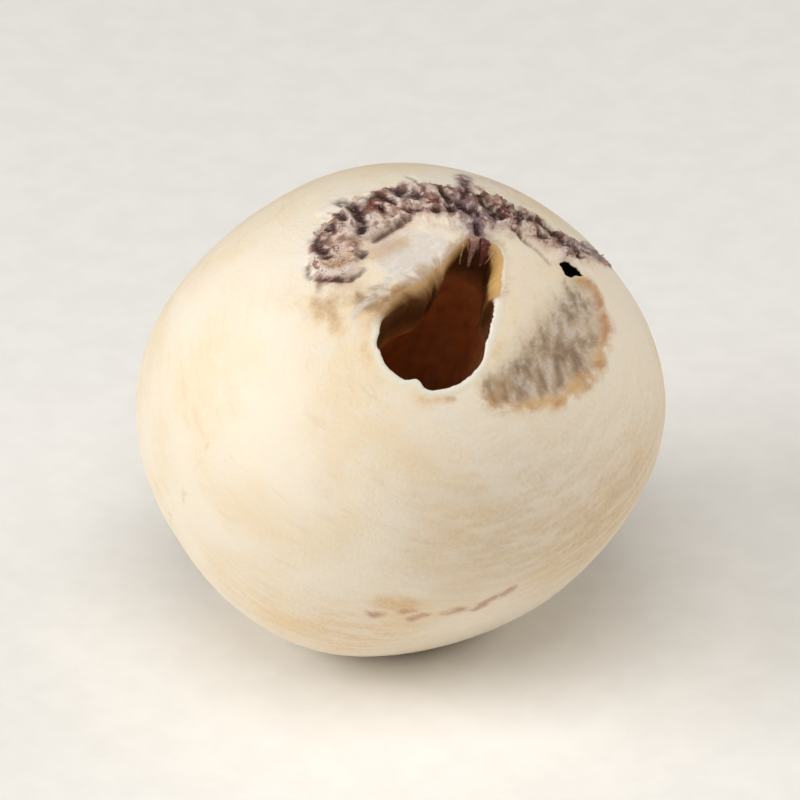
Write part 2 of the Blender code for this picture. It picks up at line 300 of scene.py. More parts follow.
class LotusBeakSettings(bpy.types.PropertyGroup):
    """Relief of the torn beak"""

    collar_height: size("Collar height", "Height of the torn skin over the kernel", 0.05)
    collar_crumple: size("Crumple", "Height of the skin's wrinkles", 0.06)
    crevice_depth: size("Crevices", "Depth of the cracks between pieces of skin", 0.12)
    flap_depth: size("Flap", "Depth of the curled flap's hollow", 0.11)
    scar_depth: size("Scar", "Depth of the dished scar", 0.14)
    pit_depth: size("Pit", "Depth of the small pit above the scar", 0.2)


class LotusColourSettings(bpy.types.PropertyGroup):
    """Colours of the seed"""

    ivory: tint("Ivory", "Dried flesh", 246, 234, 214)
    warm: tint("Warm ivory", "Yellower patches of the flesh", 242, 223, 191)
    chalk: tint("Chalk", "Powdery scuffs", 241, 234, 221)
    facet: tint("Facet", "Greyish flesh scraped by the knife", 219, 210, 203)
    tan: tint("Tan", "Stains and fibres", 196, 158, 112)
    ochre: tint("Ochre", "Yellow stains", 221, 178, 106)
    olive: tint("Olive", "Glassy worn edge of the split", 152, 116, 70)
    # Channel colours: the brown far inside and the darker band just below the rim are partly the wall's own
    # browning and partly painted shade in the bore.
    deep: tint("Channel", "Inside of the channel", 240, 178, 114)
    wall_brown_and_shade: tint("Channel below the rim", "Wall just inside the mouth", 122, 76, 37)
    blush: tint("Thin skin", "Thin pinkish skin at the collar's inner side", 221, 194, 178)
    mauve: tint("Mauve skin", "Torn skin", 170, 127, 114)
    maroon: tint("Maroon skin", "Darker skin", 102, 42, 33)
    violet: tint("Violet skin", "Cool grey parts of the skin", 128, 113, 122)
    # Near-black colour of painted shade in the cracks; one fibre takes it too.
    dark_crack_shade: tint("Crevices", "Bottom of the cracks", 48, 20, 16)
    fleck: tint("Flecks", "Pale edges of the torn skin", 246, 230, 219)
    scar: tint("Scar", "Greyish floor of the scar", 195, 169, 140)
    smudge: tint("Smudges", "Dark spots of the scar", 135, 110, 87)
    rust: tint("Rust", "Pink-brown marks and fibres", 178, 110, 80)


class LotusStageSettings(bpy.types.PropertyGroup):
    """Floor, lights and camera"""

    floor: tint("Floor", "Pale floor", 249, 248, 245)
    elevation: turn("Elevation", "Camera's height above the horizon", 32.0)
    lens: number("Lens", "Focal length of the camera", 600.0, subtype="DISTANCE_CAMERA")
    filled: share("Filled", "Share of the picture's width that the seed fills", 0.66)
    key_power: number("Key light", "Power of the large soft light at the left", 0.205, unit="POWER")
    top_power: number("Top light", "Power of the soft light overhead", 0.15, unit="POWER")
    fill_power: number("Fill light", "Power of the weak soft light at the right", 0.1, unit="POWER")
    sky: share("Sky", "Strength of the even light from all round", 0.17)


# Form of the kernel, in millimetres in the seed's own frame


def smooth(value):
    """Ease from 0 to 1 as the value goes from 0 to 1."""
    value = np.clip(value, 0.0, 1.0)
    return value * value * (3.0 - 2.0 * value)


def fall(value):
    """Ease from 1 to 0 as the value goes from 0 to 1."""
    return 1.0 - smooth(value)


def mix(first, second, portion):
    return first + (second - first) * portion


def bell(away):
    return np.exp(-np.square(away))


def azimuth_bell(azimuth, centre, spread):
    return bell(((azimuth - centre + 180.0) % 360.0 - 180.0) / spread)


def turned(x, y, azimuth):
    """Coordinates along and across the way at an azimuth in degrees."""
    cosine = math.cos(math.radians(azimuth))
    sine = math.sin(math.radians(azimuth))
    return x * cosine + y * sine, y * cosine - x * sine


def soft_inside(x, y, outline, softness):
    """1 inside a closed outline and 0 outside it, with a soft edge."""
    away, _ = path_place(x, y, [(*point, 1.0) for point in (*outline, outline[0])])
    inside = np.zeros(x.shape, bool)
    for first, second in zip(outline, (*outline[1:], outline[0])):
        slant = (second[0] - first[0]) / (second[1] - first[1])
        inside ^= ((first[1] > y) != (second[1] > y)) & (x < first[0] + slant * (y - first[1]))
    return smooth(0.5 + np.where(inside, away, -away) / softness)


def directions(polar, azimuth):
    """Unit vectors at polar angles from the beak and azimuths, in degrees."""
    tilt = np.radians(polar)
    swing = np.radians(azimuth)
    flat = np.sin(tilt)
    return np.stack((flat * np.cos(swing), flat * np.sin(swing), np.cos(tilt) + 0.0 * flat), axis=-1)


def rough(points, pitch, seed, octaves=2):
    """Fractal noise, about -1 to 1, with lumps of the given pitch."""
    shift = Vector((7.3, 3.1, 5.7)) * seed
    cells = (points.reshape(-1, 3) / pitch).tolist()
    values = [noise.fractal(Vector(cell) + shift, 1.0, 2.0, octaves) for cell in cells]
    return np.array(values).reshape(points.shape[:-1])


def path_place(x, y, path):
    """Distance to a path of (x, y, half width), in half widths, and its outer side as +1."""
    best = np.full(x.shape, 1.0e9)
    side = np.zeros(x.shape)
    for first, second in zip(path[:-1], path[1:]):
        run_x = second[0] - first[0]
        run_y = second[1] - first[1]
        along = ((x - first[0]) * run_x + (y - first[1]) * run_y) / (run_x ** 2 + run_y ** 2)
        along = np.clip(along, 0.0, 1.0)
        near_x = mix(first[0], second[0], along)
        near_y = mix(first[1], second[1], along)
        away = np.hypot(x - near_x, y - near_y) / mix(first[2], second[2], along)
        side = np.where(away < best, np.hypot(x, y) - np.hypot(near_x, near_y), side)
        best = np.minimum(best, away)
    return best, np.sign(side)


def drawn(x, y, strokes, edge=0.55, grow=1.0):
    """1 on the strokes and 0 off them, with a soft edge; grow widens them."""
    cover = np.zeros(x.shape)
    for half_width, *points in strokes:
        away, _ = path_place(x, y, [(*point, half_width * grow) for point in points])
        cover = np.maximum(cover, fall((away - 1.0 + edge) / (2.0 * edge)))
    return cover


def degrees_from(ways, polar, azimuth):
    """Angle between unit vectors and the direction at a polar angle and azimuth."""
    return np.degrees(np.arccos(np.clip(ways @ directions(polar, azimuth), -1.0, 1.0)))


def plain_radius(ways, kernel):
    """Distance from the centre to the unmarked kernel along unit vectors."""
    waist = np.hypot(ways[..., 0] / (kernel.half_width / MM), ways[..., 1] / (kernel.half_thickness / MM))
    height = np.abs(ways[..., 2]) / (kernel.half_length / MM)
    radius = (waist ** FULLNESS + height ** FULLNESS) ** (-1.0 / FULLNESS)
    for polar, azimuth, spread, swell in SWELLS:
        radius = radius + swell * bell(degrees_from(ways, polar, azimuth) / spread)
    return radius


def body_spot(kernel, polar, azimuth):
    """Point on the unmarked kernel."""
    way = directions(polar, azimuth)
    return way * plain_radius(way, kernel)


def scraped_radius(ways, kernel):
    """The kernel's radius with the knife's flat faces cut off the beak."""
    radius = plain_radius(ways, kernel)
    for polar, azimuth, depth in SCRAPED_FACES:
        normal = directions(polar, azimuth)
        facing = ways @ normal
        cut = (plain_radius(normal, kernel) - depth) / np.maximum(facing, 0.7)
        blend = np.clip(0.5 + 0.5 * (radius - cut) / FACE_SOFTNESS, 0.0, 1.0) * (facing > 0.7)
        radius = mix(radius, cut, blend) - FACE_SOFTNESS * blend * (1.0 - blend)
    return radius


def inside_mouth(x, y):
    """True within a circle that rolls along the mouth's circles and changes size on its way."""
    inside = np.zeros(x.shape, bool)
    for first, second in zip(MOUTH_CIRCLES[:-1], MOUTH_CIRCLES[1:]):
        for step in range(ROLL_STEPS + 1):
            centre = [mix(a, b, step / ROLL_STEPS) for a, b in zip(first, second)]
            inside |= np.hypot(x - centre[0], y - centre[1]) < centre[2]
    return inside


def mouth_reach(azimuth):
    """Distance from the axis to the mouth's edge."""
    swing = np.radians(azimuth)
    inner = np.zeros(azimuth.shape)
    outer = np.full(azimuth.shape, 4.0)
    for _ in range(HALVINGS):
        middle = 0.5 * (inner + outer)
        within = inside_mouth(middle * np.cos(swing), middle * np.sin(swing))
        inner = np.where(within, middle, inner)
        outer = np.where(within, outer, middle)
    centre, spread, length = MOUTH_TOOTH
    return inner - length * azimuth_bell(azimuth, centre, spread)


def torn(azimuth):
    """Small nicks and splinters round the mouth's edge."""
    circle = directions(np.full(azimuth.shape, 90.0), azimuth)
    nicks = rough(circle * 1.6, 0.34, 31, 3)
    return 0.05 * nicks + 0.035 * np.minimum(rough(circle * 1.6, 0.13, 32), 0.0)


def cavity_reach(azimuth):
    """Distance from the axis to the wall of the germ's hollow, an oval along the split."""
    swing = np.radians(azimuth - SPLIT_AZIMUTH)
    return 1.0 / np.hypot(np.cos(swing) / CAVITY_HALF_LENGTH, np.sin(swing) / CAVITY_HALF_WIDTH)


def polar_at_reach(reach, azimuth, kernel, near, far):
    """Polar angle, between near and far, at which the outside is that far from the axis."""
    near = np.full(azimuth.shape, near)
    far = np.full(azimuth.shape, far)
    for _ in range(HALVINGS):
        middle = 0.5 * (near + far)
        ways = directions(middle, azimuth)
        out = np.hypot(ways[..., 0], ways[..., 1]) * scraped_radius(ways, kernel)
        near = np.where(out < reach, middle, near)
        far = np.where(out < reach, far, middle)
    return 0.5 * (near + far)


def rim_width(azimuth):
    """Rounding of the mouth's edge, wider along the worn edges of the split."""
    width = np.full(azimuth.shape, RIM_ROUND)
    for centre, spread, extra in WORN_EDGES:
        width = width + extra * azimuth_bell(azimuth, centre, spread)
    return width


def worn_share(width):
    """1 where the mouth's edge is worn and 0 where it is crisp."""
    return smooth((width - 0.1) / 0.16)


def ring_shares():
    """Shares of the way from the mouth to the base hole, closest together at the collar."""
    place = np.arange(OUTER_RINGS - 1) / OUTER_RINGS
    steps = 0.6 + 0.45 * smooth((place - 0.28) / 0.16) - 0.35 * smooth((place - 0.92) / 0.08)
    return np.concatenate(([0.0], np.cumsum(steps))) / steps.sum()


def gathered(even, portion):
    """Azimuth of a segment: crowded round the split at the mouth, even further down."""
    pull = np.degrees(GATHER * np.sin(np.radians(even - SPLIT_AZIMUTH)))
    return even - pull * fall(portion / GATHER_END)


def seed_pose(kernel):
    """Matrix from millimetres in the seed's frame to metres in the shared frame."""
    low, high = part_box("seed")
    centre = Vector(((low.x + high.x) / 2, (low.y + high.y) / 2, kernel.centre_height))
    return (
        Matrix.Translation(centre + Vector((CENTRE_SHIFT, 0.0, 0.0)) * MM)
        @ Matrix.Rotation(kernel.lean, 4, "Y")
        @ Matrix.Rotation(kernel.tip_forward, 4, "X")
        @ Matrix.Rotation(kernel.spin, 4, "Z")
        @ Matrix.Scale(MM, 4)
    )


def rgb(name):
    return np.array(getattr(bpy.context.scene.lotus_colours, name)[:3])


def tones(first, second, portion):
    """Colours between two named ones, one for each point."""
    return mix(rgb(first), rgb(second), np.clip(portion, 0.0, 1.0)[..., None])


class Paint:
    """Colours laid over the flesh, layer on layer, at points of the kernel."""

    def __init__(self, shape):
        self.colour = np.zeros((*shape, 3)) + rgb("ivory")
        self.cover = np.zeros(shape)

    def lay(self, mask, colour):
        """Lay a named colour, or a colour for each point, where the mask is 1."""
        mask = np.clip(mask, 0.0, 1.0)
        colour = rgb(colour) if isinstance(colour, str) else colour
        cover = mask + self.cover * (1.0 - mask)
        portion = np.where(cover > 1e-4, mask / np.maximum(cover, 1e-4), 1.0)
        self.colour = mix(self.colour, colour, portion[..., None])
        self.cover = cover


def beak_surface(places, beak):
    """Height of the beak's relief, where its skin and pit lie, and its colours, at points."""
    x = places[..., 0]
    y = places[..., 1]
    broad_x = x + 0.1 * rough(places, 0.55, 1)
    broad_y = y + 0.1 * rough(places, 0.55, 2)
    near_x = x + 0.045 * rough(places, 0.26, 3, 3)
    near_y = y + 0.045 * rough(places, 0.26, 4, 3)
    lumps = rough(places, 0.5, 5, 3)
    patches = rough(places, 0.36, 6, 3)
    grit = rough(places, 0.15, 7, 3)
    paint = Paint(x.shape)
    lay = paint.lay

    def marked(strokes, edge=0.55, grow=1.0):
        return drawn(near_x, near_y, strokes, edge, grow)

    away, side = path_place(broad_x, broad_y, COLLAR)
    across = away * side
    ragged = away + 0.34 * lumps + 0.2 * grit
    cover = smooth((1.0 - ragged) / np.where(side > 0.0, 0.14, 0.32))
    cover = np.maximum(cover, 0.9 * marked(STRIPS, 0.9))
    dark_crack_shade = marked(SHADED_CRACKS, 0.55, 1.25)
    halo = marked(SHADED_CRACKS, 0.9, 2.6)
    outline = marked(EDGE_SHADOWS, 0.55, 1.7)
    crest = marked(CRESTS)
    violet = marked(VIOLETS, 0.9)
    shelf = marked([SHELF], 0.8)

    torn_layer = smooth((rough(places, 0.42, 15, 3) - 0.02) / 0.1)
    height = cover * (beak.collar_height / MM + beak.collar_crumple / MM * lumps)
    height += cover * (0.04 * (0.5 - np.abs(patches)) + 0.015 * grit + 0.03 * torn_layer)
    height += 0.025 * bell((ragged - 0.9) / 0.1)
    height *= 1.0 - 0.65 * smooth((x - 3.6) / 0.7)

    flap_x, flap_y, half_x, half_y = FLAP
    inside = np.hypot((near_x - flap_x) / half_x, (near_y - flap_y) / half_y)
    height = np.maximum(height, 0.11 * fall((inside - 0.98) / 0.14))
    height -= beak.flap_depth / MM * fall((inside - 0.3) / 0.52)
    height += 0.04 * torn_layer * (inside < 0.9)
    flap = fall((inside - 0.95) / 0.15)
    cover = np.maximum(cover, flap)

    height -= beak.crevice_depth / MM * dark_crack_shade
    height -= 0.05 * outline
    height += 0.035 * crest * (1.0 - dark_crack_shade) + 0.03 * shelf

    plain_away, side = path_place(mix(x, broad_x, 0.5), mix(y, broad_y, 0.5), SCAR)
    scar_away = plain_away + 0.1 * rough(places, 0.4, 8, 3)
    scar = fall((scar_away - np.where(side > 0.0, 0.5, 0.3)) / np.where(side > 0.0, 0.5, 1.4))
    scar_rim = bell((scar_away - 0.9) / 0.22) * smooth(0.5 + side * plain_away * 1.2) * (1.0 - cover)
    smudge = marked(SMUDGES, 1.0, 1.3)
    flecks = np.stack((0.94 * x + 0.34 * y, 0.36 * (0.94 * y - 0.34 * x), 0.36 * places[..., 2]), axis=-1)
    spongy = rough(flecks, 0.19, 9, 3)
    height -= beak.scar_depth / MM * scar
    height += 0.05 * bell((scar_away - 1.06) / 0.2) * (side > 0.0) * (1.0 - cover)
    height += scar * (0.022 * spongy - 0.03 * smudge)

    along, across_strokes = turned(x, y, KNIFE_AZIMUTH)
    strokes = np.stack((0.16 * along, across_strokes, 0.3 * places[..., 2]), axis=-1)
    scraping = rough(strokes, 0.11, 18, 3)
    facet = soft_inside(broad_x, broad_y, FACET, 0.35) * (1.0 - cover)
    slope_crest = marked(SLOPE_CRESTS, 0.9)
    height += facet * 0.014 * scraping + 0.03 * slope_crest

    pit_x, pit_y, half_x, half_y, pit_turn = PIT
    along, across_pit = turned(near_x - pit_x, near_y - pit_y, pit_turn)
    narrow = half_y * (1.05 - 0.45 * along / half_x)
    pit_away = np.hypot(along / half_x, across_pit / np.maximum(narrow, 0.05)) + 0.25 * grit
    pit = fall((pit_away - 0.35) / 0.75)
    pit_lip = bell((pit_away - 1.5) / 0.35) * (across_pit > -0.05)
    height += 0.04 * pit_lip - beak.pit_depth / MM * pit

    lay(facet * (0.8 + 0.5 * scraping), "facet")
    lay(facet * smooth(scraping * 2.2 - 0.2) * 0.7, "chalk")
    lay(0.6 * marked(TANS, 0.9, 1.3) * smooth(0.8 + lumps), tones("ochre", "tan", 0.4 + lumps))
    tint = drawn(broad_x, broad_y, TINTS, 1.3) * smooth(0.65 + 1.3 * lumps)
    lay(0.36 * tint, tones("ochre", "olive", 0.35 + 0.8 * patches))
    lay(0.8 * marked(OLIVES, 1.0), "olive")
    lay(0.85 * slope_crest, "facet")
    veil = bell((across + 1.05) / 0.42) * smooth(0.55 + 0.9 * lumps)
    lay(0.6 * veil, "blush")
    lay(0.75 * bell((across - 1.4) / 0.4) * smooth(0.7 + lumps), "chalk")
    lay(0.3 * bell((across + 0.9) / 0.35) * smooth(patches * 3.0), "violet")

    floor = tones("scar", "smudge", 0.38 + 0.8 * spongy + 0.4 * lumps)
    lay(scar * (0.92 - 0.34 * smooth((y + 0.2) / 1.0)), floor)
    lay(0.52 * scar * smooth(-3.2 * spongy - 0.4), "facet")
    lay(0.45 * scar * smooth(3.4 * spongy - 0.6), "smudge")
    lay(0.55 * smudge * smooth(0.6 + 1.2 * grit) * np.maximum(smooth(scar * 3.0), x < 0.0), "smudge")
    lay(0.9 * scar_rim * smooth(0.75 + 1.3 * lumps), tones("tan", "ochre", 0.1 + 0.6 * lumps))
    lay(0.45 * scar_rim * smooth(0.4 + 2.0 * patches), "rust")
    scar_end = bell(np.hypot(broad_x - 1.2, broad_y + 2.12) / 0.42)
    lay(0.6 * scar_end * smooth(0.8 + grit), "tan")

    dark = 0.34 + 0.34 * bell((across - 0.25) / 0.55) + 0.8 * patches + 0.8 * grit
    dark += 0.16 * smooth((-0.8 - x) / 1.0)
    dark = mix(dark, 0.34 + 0.7 * patches + 0.9 * grit, flap)
    skin = tones("blush", "mauve", smooth((dark - 0.1) / 0.36))
    skin = mix(skin, rgb("maroon"), (0.9 * smooth((dark - 0.6) / 0.22))[..., None])
    lay(cover * (0.9 + 0.5 * lumps), skin)
    # Maroon darkening round the cracks: darker skin, partly painted shade spreading from them.
    lay(0.85 * halo * smooth(0.6 + 1.4 * grit) * smooth(cover + 0.2), "maroon")
    lay(0.75 * violet * smooth(0.9 + grit), "violet")
    lay(0.4 * cover * smooth(-3.0 * grit - 0.35), "fleck")
    lay(0.8 * marked([TANS[0]], 0.9, 1.6) * smooth(0.8 + grit), "tan")
    lay(0.9 * crest * (0.45 + 0.55 * np.maximum(cover, x > 2.8)) * smooth(0.9 + grit), "fleck")
    lay(0.65 * shelf * smooth(0.9 + grit), tones("fleck", "violet", 0.16 + 0.3 * grit))
    # Painted shadow lines under the skin's edges, strongest near the collar.
    strength = (0.34 + 0.54 * smooth((1.5 - away) / 0.4)) * smooth(1.0 + grit)
    lay(outline * strength, tones("maroon", "dark_crack_shade", 0.4 + grit))
    # Painted shade: the cracks painted near black.
    lay(0.95 * dark_crack_shade * smooth(0.95 + 0.8 * grit), "dark_crack_shade")
    lay(0.9 * pit_lip, "fleck")
    return height, cover, pit, paint


def body_surface(places, kernel):
    """How deep the pin-pricks are at points of the body, and its colours."""
    paint = Paint(places.shape[:-1])
    bent = places + 0.12 * np.stack([rough(places, 0.5, seed, 3) for seed in (11, 12, 13)], axis=-1)
    ways = places / np.linalg.norm(places, axis=-1, keepdims=True)
    polar = np.arccos(np.clip(ways[..., 2], -1.0, 1.0))
    swing = np.arctan2(ways[..., 1], ways[..., 0])
    ring = np.stack((np.cos(swing), np.sin(swing), np.zeros(swing.shape)), axis=-1)
    arcs = rough(2.8 * ring + polar[..., None] * np.array((0.0, 0.0, 24.0)) + 0.25 * places, 0.75, 15, 3)
    # Broad washes, some of them partly painted warm shade.
    for kind, strength, (wash_polar, azimuth, spread) in WASHES_AND_SHADE:
        wash = bell(degrees_from(ways, wash_polar, azimuth) / spread)
        paint.lay(strength * wash * (0.6 + 0.4 * smooth(0.5 + 1.3 * arcs)), kind)
        paint.lay(0.3 * wash * smooth(-3.0 * arcs - 0.1), "chalk")
    for kind, half_width, *points in BODY_MARKS:
        spots = [body_spot(kernel, *point) for point in points]
        mark = np.zeros(places.shape[:-1])
        for first, second in zip(spots[:-1], spots[1:]):
            run = second - first
            along = np.clip((bent - first) @ run / (run @ run), 0.0, 1.0)
            away = np.linalg.norm(bent - first - along[..., None] * run, axis=-1) / half_width
            mark = np.maximum(mark, fall((away - 0.2) / 1.4))
        paint.lay(0.62 * mark * smooth(0.95 + 0.8 * rough(places, 0.35, 14, 3)), kind)
    chance = random.Random(7)
    for polar, azimuth, spread, count in FRECKLE_PATCHES:
        for _ in range(count):
            south = polar + chance.gauss(0.0, 0.6) * spread
            spot = body_spot(kernel, south, azimuth + chance.gauss(0.0, 0.7) * spread)
            away = np.linalg.norm(bent - spot, axis=-1)
            freckle = fall(away / (0.09 + 0.22 * chance.random() ** 2) - 0.2)
            paint.lay(chance.uniform(0.25, 0.6) * freckle, "rust")
    pricks = np.zeros(places.shape[:-1])
    for polar, azimuth, count, polar_step in PINPRICKS:
        for step in range(count):
            south = polar + (step + chance.uniform(-0.3, 0.3)) * polar_step
            spot = body_spot(kernel, south, azimuth + chance.gauss(0.0, 2.0))
            away = np.linalg.norm(places - spot, axis=-1)
            pricks = np.maximum(pricks, fall(away / 0.17))
    paint.lay(0.7 * pricks, "tan")
    return pricks, paint


# Modelling helpers


def deselect_all():
    for item in bpy.context.view_layer.objects:
        item.select_set(False)


def pick(action):
    bpy.ops.mesh.select_all(action=action)


def in_edit_mode(thing, *steps):
    """Run edit-mode steps on one object."""
    bpy.context.view_layer.objects.active = thing
    bpy.ops.object.mode_set(mode="EDIT")
    for step in steps:
        step()
    bpy.ops.object.mode_set(mode="OBJECT")


def points_of(mesh):
    flat = np.empty(len(mesh.vertices) * 3)
    mesh.vertices.foreach_get("co", flat)
    return flat.reshape(-1, 3)


def posed(points, pose):
    """Points of the seed's frame, in the shared frame."""
    pose = np.array(pose)
    return points @ pose[:3, :3].T + pose[:3, 3]


def in_order(grid, order):
    """Values of a grid of rings and segments, in the order of the mesh's vertices."""
    flat = np.empty((order.size, grid.shape[-1]))
    flat[order.ravel()] = grid.reshape(-1, grid.shape[-1])
    return flat.ravel()


def add_attribute(mesh, name, kind, field, values):
    """Store values a vertex, for the material to read."""
    layer = mesh.attributes.new(name, kind, "POINT")
    layer.data.foreach_set(field, values.astype(np.float32))


def finish_piece(piece, material):
    """Shade a piece smooth and give it its material and body."""
    piece.data.shade_smooth()
    piece.data.update()
    piece.data.materials.clear()
    piece.data.materials.append(material)
    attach(piece, "root")


# Kernel


def add_drilled_sphere():
    """Unit sphere with both poles opened, and the openings joined by a straight channel."""
    deselect_all()
    bpy.ops.mesh.primitive_uv_sphere_add(segments=SEGMENTS, ring_count=OUTER_RINGS + 1, radius=1.0)
    kernel = bpy.context.object
    kernel.name = "kernel"
    pole = math.cos(0.5 * math.pi / (OUTER_RINGS + 1))
    in_edit_mode(kernel, lambda: pick("DESELECT"))
    for vertex in kernel.data.vertices:
        vertex.select = abs(vertex.co.z) > pole
    in_edit_mode(
        kernel,
        lambda: bpy.ops.mesh.delete(type="VERT"),
        lambda: bpy.ops.mesh.select_mode(type="EDGE"),
        lambda: pick("DESELECT"),
        lambda: bpy.ops.mesh.select_non_manifold(),
        lambda: bpy.ops.mesh.bridge_edge_loops(number_cuts=CHANNEL_RINGS, interpolation="LINEAR"),
        lambda: pick("SELECT"),
        lambda: bpy.ops.mesh.normals_make_consistent(inside=False),
        lambda: bpy.ops.mesh.select_mode(type="VERT"),
    )
    return kernel


def ring_order(mesh):
    """Vertex numbers by ring and segment: up the channel, then down the outside."""
    places = points_of(mesh)
    radius = np.linalg.norm(places, axis=1)
    polar_step = math.pi / (OUTER_RINGS + 1)
    top = math.cos(polar_step)
    swing = np.arctan2(places[:, 1], places[:, 0])
    segment = np.rint(swing * SEGMENTS / math.tau).astype(int) % SEGMENTS
    outer = np.rint(np.arccos(np.clip(places[:, 2] / radius, -1.0, 1.0)) / polar_step) - 1 + CHANNEL_RINGS
    inner = CHANNEL_RINGS - np.rint((top - places[:, 2]) / (2.0 * top) * (CHANNEL_RINGS + 1))
    ring = np.where(radius > 1.0 - 1e-5, outer, inner).astype(int)
    order = np.full((CHANNEL_RINGS + OUTER_RINGS, SEGMENTS), -1)
    order[ring, segment] = np.arange(len(places))
    if (order < 0).any():
        raise RuntimeError("the drilled sphere's rings aren't complete")
    return order


def outside_rings(kernel, beak):
    """Points of the outside by ring, its skin and pit, its colours and the rim's azimuths."""
    even = np.arange(SEGMENTS) * 360.0 / SEGMENTS
    rim_azimuth = gathered(even, 0.0)
    polar_top = polar_at_reach(mouth_reach(rim_azimuth) + torn(rim_azimuth), rim_azimuth, kernel, 0.0, 60.0)
    polar_bottom = polar_at_reach(np.full(SEGMENTS, BASE_HOLE_RADIUS + RIM_ROUND), even, kernel, 180.0, 120.0)
    shares = ring_shares()[:, None]
    polar = mix(polar_top, polar_bottom, shares)
    azimuth = gathered(even, shares)
    ways = directions(polar, azimuth)
    radius = scraped_radius(ways, kernel)
    places = ways * radius[..., None]

    pricks, paint = body_surface(places, kernel)
    rise = kernel.lump_height / MM * rough(places, 3.2, 21, 2) + 0.01 * rough(places, 0.8, 22, 2)
    rise -= 0.07 * pricks
    rings = int((polar.min(axis=1) < BEAK_END).sum())
    relief, cover, pit_mark, beak_paint = beak_surface(places[:rings], beak)
    fade = fall((polar[:rings] - BEAK_END + 8.0) / 8.0)
    rise[:rings] += relief * fade
    skin = np.zeros(polar.shape)
    skin[:rings] = cover * fade
    pit = np.zeros(polar.shape)
    pit[:rings] = pit_mark
    over = beak_paint.cover * fade
    seen = paint.cover[:rings] > over
    paint.colour[:rings] = np.where(seen[..., None], paint.colour[:rings], beak_paint.colour)
    paint.cover[:rings] = np.maximum(paint.cover[:rings], over)

    rim_away = (polar - polar_top) / DEGREES * RIM_RADIUS
    # A thin pale line along the mouth's crisp edge, raised a little: partly pale cut flesh, partly painted
    # highlight.
    rim_pale_and_highlight = bell((rim_away - 0.05) / 0.06) * (1.0 - skin)
    rise += 0.018 * rim_pale_and_highlight
    crisp = 1.0 - worn_share(rim_width(azimuth))
    paint.lay(0.85 * rim_pale_and_highlight * crisp, "chalk")
    halo = bell((rim_away - 0.24) / 0.12) * smooth(0.3 + 2.0 * rough(places, 0.6, 23, 2))
    paint.lay(0.3 * halo * crisp * (1.0 - skin), "ochre")
    streaks = rough(np.stack((azimuth / 7.0, rim_away * 1.2, 0.0 * azimuth), axis=-1), 1.0, 24, 3)
    worn = fall(rim_away / 0.3 - 0.1 + 0.7 * streaks)
    # Painted light: by the lit wall at the neck the worn olive fringe is mostly left off, so it stays pale.
    worn *= (1.0 - crisp) * (1.0 - skin) * (1.0 - 0.85 * azimuth_bell(azimuth, *LIT_WALL))
    paint.lay(0.62 * worn, tones("olive", "tan", rim_away / 0.3))
    base_away = (polar_bottom - polar) / DEGREES * BASE_RADIUS
    paint.lay(0.65 * bell((base_away - 0.12) / 0.2) * smooth(0.8 + rough(places, 0.4, 25, 2)), "olive")
    return ways * (radius + rise)[..., None], (skin, pit), paint, rim_azimuth


def channel_surface(points, rim_height, width):
    """Colours in the channel: a pale crisp rim or a worn olive slope, and brown further down, partly the
    wall's own browning and partly painted shade.
    """
    depth = rim_height - points[..., 2]
    uneven = rough(points, 0.3, 51, 3)
    worn = worn_share(width) + 0.0 * depth
    # Painted light: the wall by the neck that the key light falls on is painted lighter ochre, and its dark
    # band starts further down.
    pale = azimuth_bell(np.degrees(np.arctan2(points[..., 1], points[..., 0])), *LIT_WALL) * worn
    # The crisp rim's rounded top is painted chalk, partly painted highlight, and turns tan just below it.
    colour = tones("chalk", "tan", smooth((depth - 0.05) / 0.08))
    slope = tones("tan", "olive", smooth((depth + 0.06 * uneven + 0.02) / 0.13))
    slope = mix(slope, rgb("ochre"), 0.6 * pale[..., None])
    colour = mix(colour, slope, worn[..., None])
    # Below the rim the wall turns to the dark band of painted shade and browning, then to the brown of the
    # deep channel.
    below = mix(0.07, 0.1, worn) + 0.07 * pale
    down = smooth((depth + 0.05 * uneven - below) / (mix(0.12, 0.2, worn) + 0.1 * pale))[..., None]
    inner = tones("wall_brown_and_shade", "deep", smooth((depth - 1.2) / 1.4)) * (1.0 + 0.25 * uneven[..., None])
    colour = mix(colour, inner, down)
    # Darker towards the base hole, in the dimmed wall colour.
    base = fall((points[..., 2] - points[:1, :, 2]) / 2.6)
    return mix(colour, rgb("wall_brown_and_shade") * 0.7, 0.9 * base[..., None])


